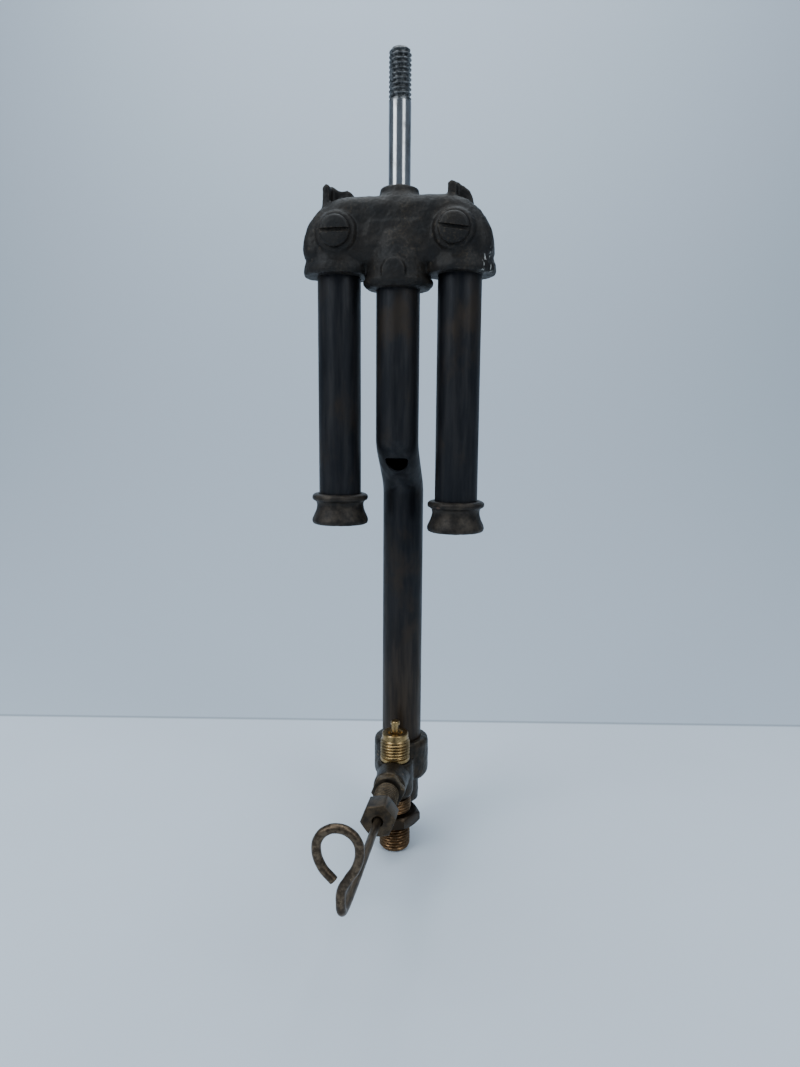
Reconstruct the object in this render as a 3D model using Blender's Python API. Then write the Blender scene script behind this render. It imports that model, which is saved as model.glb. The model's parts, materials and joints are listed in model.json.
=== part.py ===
"""Burner assembly of a twin-mantle pressure lantern.

Metres, +Z up. The origin is the centre of the inlet fitting's open end, on the inlet axis.
The lever points to -Y. Lengths below are in millimetres.
"""
import bmesh
import bpy
from math import cos, pi, radians, sin, sqrt, tan
from mathutils import Vector

MM = 0.001
GAP = 0.3           # between two pieces that seat on each other
FIT = 0.15          # radial gap of a tube or a shank in its socket
SEGMENTS = 28       # facets round a large piece
SMALL_SEGMENTS = 16  # facets round a small piece

# Layout
PLANE_Y = 1.3       # plane of the stud and of both burner tubes
BURNER_X = 17.67
MIX_LOW_Y = 13.7    # the mixing tube's lower axis; its upper axis is at y = 0
PACKING_Z = 25.1    # height of the lever's axis, which runs along -Y

# Tubes
TUBE_R = 6.35
TUBE_WALL = 0.8
TUBE_TOP_Z = 183.8
CAP_SOCKET_Z = 7.0  # height of a burner tube's lower end above its cap's rim
LEFT_CAP_Z = 104.0
RIGHT_CAP_Z = 102.5
MIX_BOTTOM_Z = 21.3
BEND_HIGH_Z = 127.7
BEND_LOW_Z = 114.9
BEND_BLEND = 2.4    # how far each corner of the offset is rounded along the tube
HOLE_R = 3.4
HOLE_Y = -0.8
HOLE_TOP_Z = 124.1

# Casting
BODY_HALF_WIDTH = 27.3
BODY_TOP_Z = 197.5
BODY_BOTTOM_Z = 178.5
BODY_DEPTH = 17.0
SHOULDER_R = 14.5
BODY_ROUNDING = 4.5
FOOT_Z = 176.4
COLLAR_Z = 172.3
HUB_R = 5.2
HUB_TOP_Z = 200.7
PLUG_X = 16.5
PLUG_Z = 187.2
BOSS_FACE = 9.0     # the plug bosses' faces, in front of the inlet axis
HEAD_R = 4.3
PASSAGE_Z = 188.2
PASSAGE_R = 3.2

# Stud, 1/4-20
STUD_R = 3.175
STUD_PITCH = 1.27
STUD_THREAD_Z = 223.4
STUD_TIP_Z = 237.3
STUD_BOTTOM_Z = 193.2

# Valve block
BOSS_R = 5.8
BLOCK_BOTTOM_Z = 17.2
BLOCK_TOP_Z = 29.0
COLLAR_R = 8.9
BLOCK_COLLAR_TOP_Z = 31.6
SPINE_BOTTOM_Z = 9.6
CHAMBER_R = 2.75
PACKING_BOSS_FRONT = 11.8
BONNET_SHANK_R = 3.2
NIPPLE_SHANK_R = 3.5
NIPPLE_FOOT_Z = 27.3
INLET_SHANK_R = 3.9
INLET_TOP_Z = 20.7

# Lever and stem
WIRE_R = 1.125
LEVER_LENGTH = 73.2
ECCENTRIC = 0.7     # offset of the pin from the lever's axis, and the stem's travel each way
PIN_R = 0.5
STEM_R = 1.45
STEM_TOP_Z = 41.9
YOKE_HALF_HEIGHT = 1.35

MATERIALS = {
    "cast_iron": ((0.035, 0.028, 0.022), 0.62, 0.7),
    "blued_tube": ((0.05, 0.045, 0.045), 0.42, 0.9),
    "cap_brass": ((0.17, 0.12, 0.08), 0.5, 0.9),
    "gauze": ((0.09, 0.08, 0.07), 0.6, 0.8),
    "steel": ((0.62, 0.62, 0.63), 0.22, 1.0),
    "bright_brass": ((0.66, 0.45, 0.2), 0.28, 1.0),
    "copper_brass": ((0.5, 0.28, 0.13), 0.34, 1.0),
    "dark_brass": ((0.13, 0.09, 0.05), 0.45, 0.9),
    "bronze_wire": ((0.2, 0.15, 0.1), 0.4, 0.9),
    "packing": ((0.05, 0.05, 0.05), 0.85, 0.0),
}


def clear_scene():
    for obj in list(bpy.data.objects):
        bpy.data.objects.remove(obj, do_unlink=True)


def material(name):
    found = bpy.data.materials.get(name)
    if found:
        return found
    colour, roughness, metallic = MATERIALS[name]
    made = bpy.data.materials.new(name)
    made.use_nodes = True
    shader = made.node_tree.nodes["Principled BSDF"]
    shader.inputs["Base Color"].default_value = (*colour, 1.0)
    shader.inputs["Roughness"].default_value = roughness
    shader.inputs["Metallic"].default_value = metallic
    return made


def add_mesh(name, bm, slot=None, smooth=True):
    """Turns a bmesh in millimetres into an object in metres; without a slot it is a cutter or a tool."""
    bmesh.ops.recalc_face_normals(bm, faces=bm.faces)
    bmesh.ops.scale(bm, vec=(MM, MM, MM), verts=bm.verts)
    mesh = bpy.data.meshes.new(name)
    bm.to_mesh(mesh)
    bm.free()
    obj = bpy.data.objects.new(name, mesh)
    bpy.context.collection.objects.link(obj)
    if slot:
        mesh.materials.append(material(slot))
        if smooth:
            mesh.shade_smooth()
            mesh.set_sharp_from_angle(angle=radians(35))
    else:
        obj.hide_render = True
        obj.display_type = "WIRE"
    return obj


def place(obj, x=0.0, y=0.0, z=0.0, facing_front=False):
    """Moves an object; facing_front turns its own +Z to -Y."""
    obj.location = Vector((x, y, z)) * MM
    if facing_front:
        obj.rotation_euler = (pi / 2, 0.0, 0.0)
    return obj


def boolean(obj, tool, operation="DIFFERENCE", solver="EXACT"):
    modifier = obj.modifiers.new(f"{operation.lower()}_{tool.name}", "BOOLEAN")
    modifier.operation = operation
    modifier.object = tool
    modifier.solver = solver


def lathe(name, profile, slot=None, segments=SEGMENTS):
    """Spins a closed (radius, height) outline round Z. A point of radius 0 lies on the axis."""
    bm = bmesh.new()
    rings = []
    for radius, height in profile:
        if radius == 0:
            rings.append([bm.verts.new((0.0, 0.0, height))] * segments)
            continue
        angles = [2 * pi * (k + 0.5) / segments for k in range(segments)]
        rings.append([bm.verts.new((radius * cos(a), radius * sin(a), height)) for a in angles])
    for ring, after in zip(rings, rings[1:] + rings[:1]):
        for k in range(segments):
            n = (k + 1) % segments
            corners = list(dict.fromkeys((ring[k], ring[n], after[n], after[k])))
            if len(corners) > 2:
                bm.faces.new(corners)
    return add_mesh(name, bm, slot)


def cylinder(name, radius, low, high, slot=None, segments=SEGMENTS):
    return lathe(name, [(0, low), (radius, low), (radius, high), (0, high)], slot, segments)


def prism(name, outline, low, high, slot=None, rounding=0.0):
    """Extrudes an (x, z) outline along Y from low to high, with rounded front and back edges."""
    bm = bmesh.new()
    face = bm.faces.new([bm.verts.new((x, low, z)) for x, z in outline])
    grown = bmesh.ops.extrude_face_region(bm, geom=[face])
    moved = [g for g in grown["geom"] if isinstance(g, bmesh.types.BMVert)]
    bmesh.ops.translate(bm, vec=(0.0, high - low, 0.0), verts=moved)
    if rounding:
        rims = [e for e in bm.edges if abs(e.verts[0].co.y - e.verts[1].co.y) < 1e-6]
        bmesh.ops.bevel(bm, geom=rims, offset=rounding, segments=3, profile=0.5, affect="EDGES")
    return add_mesh(name, bm, slot)


def box(name, low, high):
    outline = [(low[0], low[2]), (high[0], low[2]), (high[0], high[2]), (low[0], high[2])]
    return prism(name, outline, low[1], high[1])


def arc(cx, cz, radius, start, end, steps):
    """Points of an arc in (x, z), from start to end in degrees."""
    angles = [radians(start + (end - start) * k / steps) for k in range(steps + 1)]
    return [(cx + radius * cos(a), cz + radius * sin(a)) for a in angles]


def hexagon(name, across_flats, low, high, chamfer, slot, turn=0.0):
    """A hexagonal prism along Z whose ends are turned down to a cone."""
    radius = across_flats / sqrt(3)
    bm = bmesh.new()
    ends = []
    for height in (low, high):
        angles = [radians(turn + 60 * k) for k in range(6)]
        ends.append([bm.verts.new((radius * cos(a), radius * sin(a), height)) for a in angles])
    bm.faces.new(ends[0])
    bm.faces.new(ends[1])
    for k in range(6):
        n = (k + 1) % 6
        bm.faces.new((ends[0][k], ends[0][n], ends[1][n], ends[1][k]))
    body = add_mesh(name, bm, slot, smooth=False)
    rise = chamfer + 0.3
    wide = across_flats / 2 - 0.1 + chamfer / tan(radians(30))
    rim = wide - rise / tan(radians(30))
    cone = lathe(name + "_chamfer", [
        (0, low - 0.3), (rim, low - 0.3), (wide, low + chamfer),
        (wide, high - chamfer), (rim, high + 0.3), (0, high + 0.3),
    ])
    boolean(body, cone, "INTERSECT")
    return body, cone


def thread(low, high, major, depth, pitch):
    """Outer profile of a threaded length as rings, from low to high."""
    count = int((high - low) / pitch)
    step = (high - low) / count
    points = []
    for k in range(count):
        base = low + k * step
        points += [(major - depth, base), (major, base + 0.5 * step)]
    return points + [(major - depth, high)]


def casting_outline():
    centre_x = BODY_HALF_WIDTH - SHOULDER_R
    centre_z = BODY_TOP_Z - SHOULDER_R
    right = arc(centre_x, centre_z, SHOULDER_R, 0, 90, 8)
    left = [(-x, z) for x, z in reversed(right)]
    corner = BODY_HALF_WIDTH - 0.8
    return [(corner, BODY_BOTTOM_Z)] + right + left + [(-corner, BODY_BOTTOM_Z)]


def casting_additions():
    """The casting's feet, collar, hub, plug bosses, horns and arch pad."""
    parts = []
    for side in (-1, 1):
        foot = lathe(f"tool_foot_{side}", [
            (0, FOOT_Z), (10.2, FOOT_Z), (10.7, FOOT_Z + 0.5), (10.7, FOOT_Z + 1.9), (9.8, FOOT_Z + 3.4),
            (9.4, FOOT_Z + 5.0), (9.2, PLUG_Z), (7.0, PLUG_Z + 5.0), (0, PLUG_Z + 5.0),
        ])
        parts.append(place(foot, side * BURNER_X, PLANE_Y))
        boss = lathe(f"tool_boss_{side}", [(0, 0), (6.6, 0), (5.4, BOSS_FACE), (0, BOSS_FACE)])
        parts.append(place(boss, side * PLUG_X, 0, PLUG_Z, facing_front=True))
    collar = lathe("tool_collar", [
        (0, COLLAR_Z), (8.6, COLLAR_Z), (10.1, COLLAR_Z + 1.3), (10.1, COLLAR_Z + 2.4),
        (9.4, COLLAR_Z + 3.0), (9.2, BODY_BOTTOM_Z + 2.0), (7.4, PLUG_Z + 3.0), (0, PLUG_Z + 3.0),
    ])
    hub = lathe("tool_hub", [
        (0, PLUG_Z), (7.0, PLUG_Z), (6.6, BODY_TOP_Z + 0.2), (HUB_R + 0.2, BODY_TOP_Z + 1.6),
        (HUB_R, HUB_TOP_Z - 0.4), (HUB_R - 0.4, HUB_TOP_Z), (0, HUB_TOP_Z),
    ])
    place(hub, 0, PLANE_Y)
    left_horn = prism("tool_left_horn", [
        (-21.3, 193.0), (-13.0, 193.0), (-13.3, 198.2), (-14.4, 200.5),
        (-16.2, 201.2), (-18.6, 202.2), (-21.0, 201.8),
    ], -6.2, 3.0)
    right_horn = prism("tool_right_horn", [
        (13.4, 193.0), (21.8, 193.0), (20.6, 199.0), (18.2, 201.2),
        (16.4, 202.6), (14.8, 202.6), (14.1, 201.6),
    ], -6.2, 3.0)
    pad_foot = COLLAR_Z + 2.0
    pad_outline = arc(0, 177.0, 3.4, 0, 180, 10) + [(-3.4, pad_foot), (3.4, pad_foot)]
    pad = prism("tool_pad", pad_outline, -10.2, -4.0)
    return parts + [collar, hub, left_horn, right_horn, pad]


def casting_cuts():
    """The casting's tube sockets, gas passage, plug holes and stud hole."""
    cuts = []
    passage_low = COLLAR_Z - 5.0
    for side in (-1, 1):
        socket = lathe(f"cut_socket_{side}", [
            (0, passage_low), (TUBE_R + FIT, passage_low), (TUBE_R + FIT, TUBE_TOP_Z + GAP),
            (5.2, TUBE_TOP_Z + GAP), (5.2, PASSAGE_Z + 1.0), (0, PASSAGE_Z + 1.0),
        ])
        cuts.append(place(socket, side * BURNER_X, PLANE_Y))
        hole = cylinder(f"cut_plug_{side}", 3.0 + FIT, -PLANE_Y, BOSS_FACE + 4.0, segments=SMALL_SEGMENTS)
        cuts.append(place(hole, side * PLUG_X, 0, PLUG_Z, facing_front=True))
    cuts.append(lathe("cut_mixing_socket", [
        (0, passage_low), (TUBE_R + FIT, passage_low), (TUBE_R + FIT, TUBE_TOP_Z + GAP),
        (5.0, TUBE_TOP_Z + GAP), (5.0, PASSAGE_Z + 1.0), (0, PASSAGE_Z + 1.0),
    ]))
    passage = cylinder("cut_passage", PASSAGE_R, -BURNER_X, BURNER_X, segments=SMALL_SEGMENTS)
    passage.rotation_euler = (0.0, pi / 2, 0.0)
    cuts.append(place(passage, 0, PLANE_Y, PASSAGE_Z))
    stud_low = STUD_BOTTOM_Z - GAP
    stud_hole = cylinder("cut_stud", STUD_R + FIT, stud_low, HUB_TOP_Z + 4.0, segments=SMALL_SEGMENTS)
    cuts.append(place(stud_hole, 0, PLANE_Y))
    return cuts


def build_casting():
    """The casting. Its cuts use the manifold solver: the exact one leaves open edges where bores cross."""
    low = PLANE_Y - BODY_DEPTH / 2
    body = prism("manifold_casting", casting_outline(), low, low + BODY_DEPTH, "cast_iron", BODY_ROUNDING)
    for tool in casting_additions():
        boolean(body, tool, "UNION")
    for cut in casting_cuts():
        boolean(body, cut, solver="MANIFOLD")


def build_stud():
    stud = lathe("ventilator_stud", [
        (0, STUD_BOTTOM_Z), (STUD_R, STUD_BOTTOM_Z), (STUD_R, STUD_THREAD_Z),
        *thread(STUD_THREAD_Z + 0.3, STUD_TIP_Z - 0.3, STUD_R, 0.7, STUD_PITCH),
        (STUD_R - 0.8, STUD_TIP_Z), (0, STUD_TIP_Z),
    ], "steel", SMALL_SEGMENTS)
    place(stud, 0, PLANE_Y)


def build_burner(side, name, cap_z):
    """One burner tube with its waisted cap and the gauze inside the cap."""
    x = side * BURNER_X
    tube = lathe(f"{name}_burner_tube", [
        (TUBE_R, cap_z + CAP_SOCKET_Z), (TUBE_R, TUBE_TOP_Z),
        (TUBE_R - TUBE_WALL, TUBE_TOP_Z), (TUBE_R - TUBE_WALL, cap_z + CAP_SOCKET_Z),
    ], "blued_tube")
    place(tube, x, PLANE_Y)
    cap = lathe(f"{name}_burner_cap", [
        (7.4, 0), (8.2, 0.2), (8.55, 0.9), (8.4, 1.7), (7.6, 3.4), (7.1, 5.4), (7.3, 6.5), (8.1, 7.1),
        (8.5, 7.7), (8.5, 8.6), (8.1, 9.2), (TUBE_R + FIT, 9.2), (TUBE_R + FIT, CAP_SOCKET_Z - GAP),
        (5.5, CAP_SOCKET_Z - GAP), (5.5, 3.4), (6.7, 3.4), (7.0, 0.4),
    ], "cap_brass")
    place(cap, x, PLANE_Y, cap_z)
    gauze = lathe(f"{name}_cap_gauze", [
        (0, 1.5), (4.5, 1.9), (6.4, 2.6), (6.4, 3.1), (4.5, 2.5), (0, 2.1),
    ], "gauze")
    place(gauze, x, PLANE_Y, cap_z)


def build_plug(side, name):
    """A clean-out plug: a round slotted head on a threaded shank."""
    seat = BOSS_FACE + GAP
    plug = lathe(f"{name}_cleanout_plug", [
        (0, 4.0), (2.6, 4.0), *thread(4.3, seat - 0.5, 3.0, 0.45, 1.0), (3.0, seat),
        (HEAD_R, seat), (HEAD_R, seat + 0.9), (HEAD_R - 0.6, seat + 1.6), (0, seat + 1.7),
    ], "cast_iron", SMALL_SEGMENTS)
    place(plug, side * PLUG_X, 0, PLUG_Z, facing_front=True)
    slot = box(f"cut_slot_{name}", (-HEAD_R - 1, -0.55, seat + 0.8), (HEAD_R + 1, 0.55, seat + 3.0))
    place(slot, side * PLUG_X, 0, PLUG_Z, facing_front=True)
    boolean(plug, slot)


def bend_offset(z):
    """The mixing tube's axis in y at a height: a straight slant between two rounded corners."""
    height = BEND_HIGH_Z - BEND_LOW_Z
    slope = MIX_LOW_Y / height
    reach = BEND_BLEND
    if abs(z - BEND_HIGH_Z) < reach:
        return slope * (BEND_HIGH_Z + reach - z) ** 2 / (4 * reach)
    if abs(z - BEND_LOW_Z) < reach:
        return MIX_LOW_Y - slope * (z - BEND_LOW_Z + reach) ** 2 / (4 * reach)
    return min(max(slope * (BEND_HIGH_Z - z), 0.0), MIX_LOW_Y)


def build_mixing_tube():
    """A tube pressed to an offset, with a D-shaped hole through the front of the slant."""
    corner = [BEND_BLEND * (k / 2 - 1) for k in range(5)]
    heights = [MIX_BOTTOM_Z]
    heights += [BEND_LOW_Z + c for c in corner]
    heights += [BEND_HIGH_Z + c for c in corner]
    heights += [TUBE_TOP_Z]
    bm = bmesh.new()
    rings = []
    for radius, levels in ((TUBE_R, heights), (TUBE_R - TUBE_WALL, list(reversed(heights)))):
        for z in levels:
            angles = [2 * pi * (k + 0.5) / SEGMENTS for k in range(SEGMENTS)]
            y = bend_offset(z)
            rings.append([bm.verts.new((radius * cos(a), y + radius * sin(a), z)) for a in angles])
    for ring, after in zip(rings, rings[1:] + rings[:1]):
        for k in range(SEGMENTS):
            n = (k + 1) % SEGMENTS
            bm.faces.new((ring[k], ring[n], after[n], after[k]))
    tube = add_mesh("mixing_tube", bm, "blued_tube")
    hole = cylinder("cut_generator_hole", HOLE_R, BEND_LOW_Z - 6.0, HOLE_TOP_Z, segments=SMALL_SEGMENTS)
    boolean(tube, place(hole, 0, HOLE_Y))


def build_block():
    """The valve block: inlet boss, packing boss, mixing-tube collar and air intake in one casting.

    Its crossing cylinders leave open edges under the exact solver too, so it uses the manifold one.
    """
    block = lathe("valve_block", [
        (0, BLOCK_BOTTOM_Z), (4.9, BLOCK_BOTTOM_Z), (BOSS_R, BLOCK_BOTTOM_Z + 1.2),
        (BOSS_R, BLOCK_TOP_Z - 0.6), (BOSS_R - 0.6, BLOCK_TOP_Z), (0, BLOCK_TOP_Z),
    ], "dark_brass")
    collar = lathe("tool_block_collar", [
        (0, 18.0), (7.4, 18.0), (COLLAR_R, 19.6), (COLLAR_R, BLOCK_COLLAR_TOP_Z - 0.9),
        (COLLAR_R - 0.9, BLOCK_COLLAR_TOP_Z), (0, BLOCK_COLLAR_TOP_Z),
    ])
    spine = lathe("tool_spine", [
        (0, SPINE_BOTTOM_Z), (BOSS_R - 0.4, SPINE_BOTTOM_Z), (BOSS_R, SPINE_BOTTOM_Z + 0.4),
        (BOSS_R, 22.0), (0, 22.0),
    ])
    web = box("tool_web", (-4.9, 0.5, BLOCK_BOTTOM_Z + 1.0), (4.9, MIX_LOW_Y, BLOCK_TOP_Z - 1.5))
    boss = lathe("tool_packing_boss", [
        (0, 1.0), (5.0, 1.0), (5.0, PACKING_BOSS_FRONT - 0.5),
        (4.5, PACKING_BOSS_FRONT), (0, PACKING_BOSS_FRONT),
    ])
    place(boss, 0, 0, PACKING_Z, facing_front=True)
    for tool in (place(collar, 0, MIX_LOW_Y), place(spine, 0, MIX_LOW_Y), web, boss):
        boolean(block, tool, "UNION", solver="MANIFOLD")
    bore = lathe("cut_block_bore", [
        (0, BLOCK_BOTTOM_Z - 2), (INLET_SHANK_R + FIT, BLOCK_BOTTOM_Z - 2),
        (INLET_SHANK_R + FIT, INLET_TOP_Z + GAP), (CHAMBER_R, INLET_TOP_Z + GAP),
        (CHAMBER_R, NIPPLE_FOOT_Z - GAP), (NIPPLE_SHANK_R + FIT, NIPPLE_FOOT_Z - GAP),
        (NIPPLE_SHANK_R + FIT, BLOCK_TOP_Z), (5.3, BLOCK_TOP_Z), (5.3, BLOCK_TOP_Z + 2), (0, BLOCK_TOP_Z + 2),
    ])
    tube_bore = lathe("cut_tube_bore", [
        (0, SPINE_BOTTOM_Z - 2), (4.5, SPINE_BOTTOM_Z - 2), (4.5, MIX_BOTTOM_Z - GAP),
        (TUBE_R + FIT, MIX_BOTTOM_Z - GAP), (TUBE_R + FIT, BLOCK_COLLAR_TOP_Z + 2),
        (0, BLOCK_COLLAR_TOP_Z + 2),
    ])
    packing_bore = lathe("cut_packing_bore", [
        (0, 0), (2.1, 0), (2.1, 5.3), (BONNET_SHANK_R + FIT, 5.3),
        (BONNET_SHANK_R + FIT, PACKING_BOSS_FRONT + 2), (0, PACKING_BOSS_FRONT + 2),
    ], segments=SMALL_SEGMENTS)
    place(packing_bore, 0, 0, PACKING_Z, facing_front=True)
    for cut in (bore, place(tube_bore, 0, MIX_LOW_Y), packing_bore):
        boolean(block, cut, solver="MANIFOLD")


def build_inlet():
    """The inlet fitting: threaded spigot, hexagon, upper thread and shank, with a bore right through.

    A relief is cut under the hexagon, wider than the thread, so that a washer can lie flat on its face.
    """
    fitting, _ = hexagon("inlet_fitting", 14.1, 8.8, 12.5, 0.5, "copper_brass")
    spigot = lathe("tool_inlet_spigot", [
        (0, 0), (4.3, 0), *thread(0.4, 8.0, 4.95, 0.5, 0.94), (4.3, 9.0), (0, 9.0),
    ], segments=SMALL_SEGMENTS)
    upper = lathe("tool_inlet_upper", [
        (0, 12.0), (4.7, 12.0), *thread(12.8, BLOCK_BOTTOM_Z - GAP - 0.2, 5.15, 0.5, 0.94),
        (4.6, BLOCK_BOTTOM_Z - GAP), (INLET_SHANK_R, BLOCK_BOTTOM_Z - GAP),
        (INLET_SHANK_R, INLET_TOP_Z), (0, INLET_TOP_Z),
    ], segments=SMALL_SEGMENTS)
    for tool in (spigot, upper):
        boolean(fitting, tool, "UNION")
    undercut = lathe("cut_flange_relief", [
        (3.9, 8.5), (5.2, 8.5), (5.2, 9.15), (3.9, 9.15),
    ], segments=SMALL_SEGMENTS)
    boolean(fitting, undercut)
    boolean(fitting, cylinder("cut_inlet_bore", 2.4, -2.0, INLET_TOP_Z + 2, segments=SMALL_SEGMENTS))


def build_nipple():
    """The generator nipple, with a bore that the cleaner stem passes through."""
    lathe("generator_nipple", [
        (2.3, NIPPLE_FOOT_Z), (NIPPLE_SHANK_R, NIPPLE_FOOT_Z), (NIPPLE_SHANK_R, BLOCK_TOP_Z + GAP),
        (4.65, BLOCK_TOP_Z + GAP), (4.65, 30.4), *thread(30.7, 36.1, 4.65, 0.5, 0.94),
        (4.15, 36.4), (4.15, 37.9), (3.8, 38.2), (2.3, 38.2),
    ], "bright_brass", SMALL_SEGMENTS)


def build_bonnet():
    """The packing bonnet: shank in the block, hexagon, and a thread for the packing nut."""
    bonnet, cone = hexagon("packing_bonnet", 9.0, 12.1, 14.4, 0.3, "dark_brass", turn=8.0)
    shank = lathe("tool_bonnet_shank", [
        (0, 5.6), (BONNET_SHANK_R, 5.6), (BONNET_SHANK_R, 13.0), (0, 13.0),
    ], segments=SMALL_SEGMENTS)
    barrel = lathe("tool_bonnet_barrel", [
        (0, 13.5), (3.3, 13.5), *thread(14.8, 28.7, 3.6, 0.4, 0.94), (3.2, 29.0), (0, 29.0),
    ], segments=SMALL_SEGMENTS)
    bore = lathe("cut_bonnet_bore", [
        (0, 4.0), (WIRE_R + 0.2, 4.0), (WIRE_R + 0.2, 25.2), (2.6, 25.2), (2.6, 31.0), (0, 31.0),
    ], segments=SMALL_SEGMENTS)
    for tool in (cone, shank, barrel, bore, bonnet):
        place(tool, 0, 0, PACKING_Z, facing_front=True)
    boolean(bonnet, shank, "UNION")
    boolean(bonnet, barrel, "UNION")
    boolean(bonnet, bore)


def build_packing():
    """The packing nut and what it presses: a packing ring in the bonnet and a follower washer."""
    nut, cone = hexagon("packing_nut", 8.9, 24.7, 31.5, 0.7, "dark_brass", turn=8.0)
    cavity = lathe("cut_nut_cavity", [
        (0, 24.0), (3.6 + FIT, 24.0), (3.6 + FIT, 30.0), (1.5, 30.0), (1.5, 33.0), (0, 33.0),
    ], segments=SMALL_SEGMENTS)
    boolean(nut, cavity)
    inner = WIRE_R + 0.15
    ring = lathe("packing_ring", [
        (inner, 25.5), (2.4, 25.5), (2.4, 28.8), (inner, 28.8),
    ], "packing", SMALL_SEGMENTS)
    washer = lathe("packing_washer", [
        (inner, 29.2), (3.4, 29.2), (3.4, 29.7), (inner, 29.7),
    ], "dark_brass", SMALL_SEGMENTS)
    for piece in (nut, cone, cavity, ring, washer):
        place(piece, 0, 0, PACKING_Z, facing_front=True)


def build_eccentric():
    """The crank on the lever's inner end: a drum behind the bonnet with an offset pin."""
    drum = cylinder("eccentric_crank", 1.9, 1.75, 4.9, "steel", SMALL_SEGMENTS)
    pin = cylinder("tool_eccentric_pin", PIN_R, -1.1, 2.5, segments=SMALL_SEGMENTS)
    place(drum, 0, 0, PACKING_Z, facing_front=True)
    place(pin, ECCENTRIC, 0, PACKING_Z, facing_front=True)
    boolean(drum, pin, "UNION")


def lever_path():
    """The wire's points (x, y, z) from the lever's axis: a straight run, then a hook that stands up."""
    front = -LEVER_LENGTH
    straight = [(0, -5.2, 0), (0, -33, 0), (-0.75, front + 3.2, 0)]
    rise = [(-0.8, front + 0.9, 0.9), (-0.85, front, 3.4), (-0.6, front, 6.6)]
    neck = [(0.9, front, 9.4), (2.8, front, 12.6)]
    eye = [(x, front, z) for x, z in arc(-1.4, 16.5, 4.95, 0, 180, 6)]
    tail = [(-5.2, front, 12.2), (-2.4, front, 8.9)]
    return straight + rise + neck + eye + tail


def build_lever():
    curve = bpy.data.curves.new("cleaner_lever", "CURVE")
    curve.dimensions = "3D"
    curve.bevel_depth = WIRE_R * MM
    curve.bevel_resolution = 2
    curve.resolution_u = 4
    curve.use_fill_caps = True
    spline = curve.splines.new("BEZIER")
    path = lever_path()
    spline.bezier_points.add(len(path) - 1)
    for k, (point, co) in enumerate(zip(spline.bezier_points, path)):
        point.co = Vector(co) * MM
        handle = "VECTOR" if k < 2 else "AUTO"
        point.handle_left_type = handle
        point.handle_right_type = handle
    curve.materials.append(material("bronze_wire"))
    lever = bpy.data.objects.new("cleaner_lever", curve)
    bpy.context.collection.objects.link(lever)
    place(lever, 0, 0, PACKING_Z)


def build_stem():
    """The cleaner stem: a flatted top, a round rod and a slotted yoke that the crank's pin lifts."""
    low = PACKING_Z - YOKE_HALF_HEIGHT
    stem = lathe("cleaner_stem", [
        (0, PACKING_Z + 0.9), (STEM_R, PACKING_Z + 0.9), (STEM_R, STEM_TOP_Z - 0.3),
        (STEM_R - 0.3, STEM_TOP_Z), (0, STEM_TOP_Z),
    ], "bright_brass", SMALL_SEGMENTS)
    yoke = box("tool_yoke", (-2.2, -0.9, low), (2.2, 0.9, PACKING_Z + YOKE_HALF_HEIGHT))
    slot_half = PIN_R + 0.25
    slot = box("cut_yoke_slot", (-1.0, -3, PACKING_Z - slot_half), (1.6, 3, PACKING_Z + slot_half))
    boolean(stem, yoke, "UNION")
    boolean(stem, slot)
    for side in (-1, 1):
        near, far = sorted((side * 1.05, side * 3.0))
        boolean(stem, box(f"cut_flat_{side}", (near, -3, STEM_TOP_Z - 3.6), (far, 3, STEM_TOP_Z - 1.2)))


def main():
    clear_scene()
    build_casting()
    build_stud()
    build_burner(-1, "left", LEFT_CAP_Z)
    build_burner(1, "right", RIGHT_CAP_Z)
    build_plug(-1, "left")
    build_plug(1, "right")
    build_mixing_tube()
    build_block()
    build_inlet()
    build_nipple()
    build_bonnet()
    build_packing()
    build_eccentric()
    build_lever()
    build_stem()


main()
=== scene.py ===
"""Looks of the lantern burner assembly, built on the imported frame. Lengths are in millimetres."""

import json
from math import cos, pi, radians, sin, sqrt, tan

import bmesh
import bpy
import numpy as np
from mathutils import Matrix, Vector, noise


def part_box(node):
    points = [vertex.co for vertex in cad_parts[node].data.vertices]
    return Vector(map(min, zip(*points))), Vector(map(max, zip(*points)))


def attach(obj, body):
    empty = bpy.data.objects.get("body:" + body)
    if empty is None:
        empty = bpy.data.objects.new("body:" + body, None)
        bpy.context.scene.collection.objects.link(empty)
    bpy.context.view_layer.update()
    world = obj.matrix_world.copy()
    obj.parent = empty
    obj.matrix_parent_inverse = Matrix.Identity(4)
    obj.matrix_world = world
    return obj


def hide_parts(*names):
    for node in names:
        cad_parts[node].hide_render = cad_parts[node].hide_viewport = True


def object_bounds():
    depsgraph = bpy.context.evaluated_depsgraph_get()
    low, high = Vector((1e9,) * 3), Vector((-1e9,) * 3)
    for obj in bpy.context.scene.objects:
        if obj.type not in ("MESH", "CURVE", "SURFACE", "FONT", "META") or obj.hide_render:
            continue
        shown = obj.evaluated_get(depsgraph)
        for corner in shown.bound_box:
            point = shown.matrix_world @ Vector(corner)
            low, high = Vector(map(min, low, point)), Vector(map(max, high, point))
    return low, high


MM = 0.001
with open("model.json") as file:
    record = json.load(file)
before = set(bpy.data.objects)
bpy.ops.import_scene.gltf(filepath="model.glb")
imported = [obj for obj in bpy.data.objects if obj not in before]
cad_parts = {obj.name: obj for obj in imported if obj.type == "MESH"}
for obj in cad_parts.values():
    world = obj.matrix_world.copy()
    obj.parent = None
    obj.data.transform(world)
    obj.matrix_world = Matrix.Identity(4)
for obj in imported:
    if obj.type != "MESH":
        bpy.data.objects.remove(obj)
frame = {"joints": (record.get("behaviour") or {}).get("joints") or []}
cad_low, cad_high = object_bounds()
joints = {j["name"]: j for j in frame["joints"]}
LEVER_Z = joints["lever_turn"]["pos_m"][2] / MM

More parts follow.
